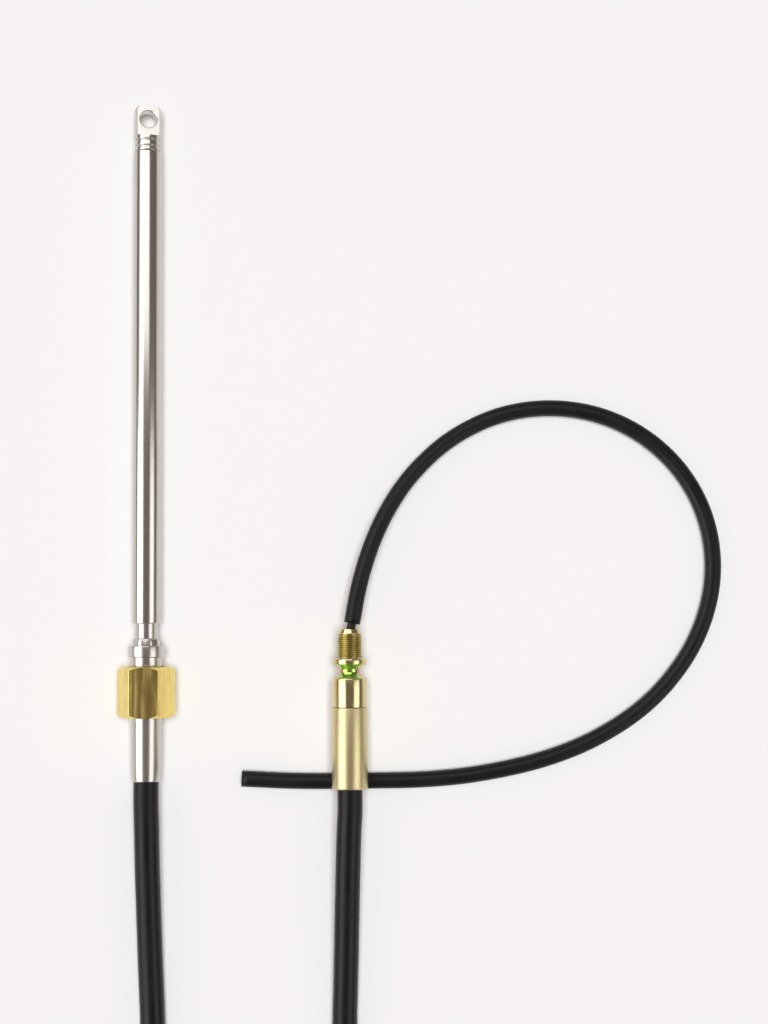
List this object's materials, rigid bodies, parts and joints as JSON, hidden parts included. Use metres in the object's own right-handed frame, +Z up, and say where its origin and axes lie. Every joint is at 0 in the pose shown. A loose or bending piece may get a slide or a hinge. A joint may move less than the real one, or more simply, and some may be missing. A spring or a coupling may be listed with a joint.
{
  "type": "boat steering cable",
  "caption": "Rotary steering cable for a small boat: a sliding ram with a flatted eye at one end, a threaded helm fitting at the other, and a coiled black jacket between.",
  "frame": {"origin": "on the floor under the middle of the box round the metal fittings, which leaves out the jacket, its coil and the sleeve", "axes": "+Y is the way the ram extends, +Z is up from the floor that the cable lies on, and +X points from the ram end to the helm end"},
  "size_m": [0.3672, 0.8398, 0.0299],
  "materials": {
    "stainless": "turned and polished stainless steel",
    "brass": "drawn brass with fine lines along the bar",
    "yellow_zinc": "steel with yellow passivated zinc plate",
    "core_steel": "dark greased steel core",
    "jacket_plastic": "smooth black extruded jacket",
    "sleeve_plastic": "smooth black extruded tube, slightly glossier"
  },
  "bodies": {
    "cable": {"guide_tube": "stainless", "staked_collar": "stainless", "ram_end_ferrule": "stainless", "helm_ferrule": "yellow_zinc", "helm_fitting": "yellow_zinc", "inner_core_at_helm": "core_steel", "jacket_run_ram_end": "jacket_plastic", "jacket_coil": "jacket_plastic", "jacket_run_helm_end": "jacket_plastic", "core_sleeve": "sleeve_plastic"},
    "ram": {"ram_eye": "stainless", "ram_tube": "stainless", "inner_core_in_ram": "core_steel"},
    "nut": {"coupling_nut": "brass"}
  },
  "joints": [
    {"name": "ram_stroke", "type": "slide", "parent": "cable", "child": "ram", "axis": [0, 1, 0], "range_m": [0, 0.2286]},
    {"name": "nut_slide", "type": "slide", "parent": "cable", "child": "nut", "axis": [0, 1, 0], "range_m": [-0.015, 0.0295]}
  ]
}
